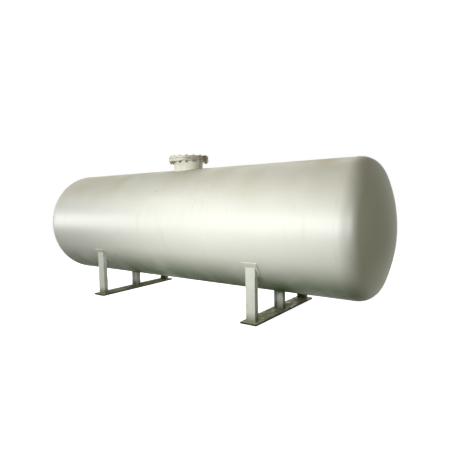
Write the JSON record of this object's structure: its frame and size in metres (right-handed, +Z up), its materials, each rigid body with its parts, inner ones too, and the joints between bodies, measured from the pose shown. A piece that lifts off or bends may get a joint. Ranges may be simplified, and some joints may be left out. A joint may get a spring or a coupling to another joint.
{
  "type": "horizontal storage tank",
  "caption": "Horizontal cylindrical steel storage tank with dished ends, a bolted manhole on top and two welded frames of channel posts on flat base plates.",
  "frame": {"origin": "on the ground, under the middle of the tank", "axes": "+X along the tank towards the end further from the manhole, +Y across it towards the back, +Z up"},
  "size_m": [6.4702, 1.9, 2.436],
  "materials": {
    "tank_paint": "satin pale grey-green enamel, lightly weathered",
    "manhole_paint": "satin pale grey-green enamel, rust-stained at the bolts",
    "frame_paint": "satin pale grey-green enamel, dusty",
    "gasket_sheet": "matt black sheet"
  },
  "bodies": {
    "root": {"shell_left_course": "tank_paint", "shell_middle_course": "tank_paint", "shell_right_course": "tank_paint", "left_head": "tank_paint", "right_head": "tank_paint", "manhole_neck": "manhole_paint", "manhole_flange": "manhole_paint", "manhole_gasket": "gasket_sheet", "manhole_cover": "manhole_paint", "left_base_plate": "frame_paint", "left_front_post": "frame_paint", "left_front_pad": "tank_paint", "left_middle_post": "frame_paint", "left_middle_pad": "tank_paint", "left_rear_post": "frame_paint", "left_rear_pad": "tank_paint", "right_base_plate": "frame_paint", "right_front_post": "frame_paint", "right_front_pad": "tank_paint", "right_middle_post": "frame_paint", "right_middle_pad": "tank_paint", "right_rear_post": "frame_paint", "right_rear_pad": "tank_paint"}
  },
  "joints": []
}
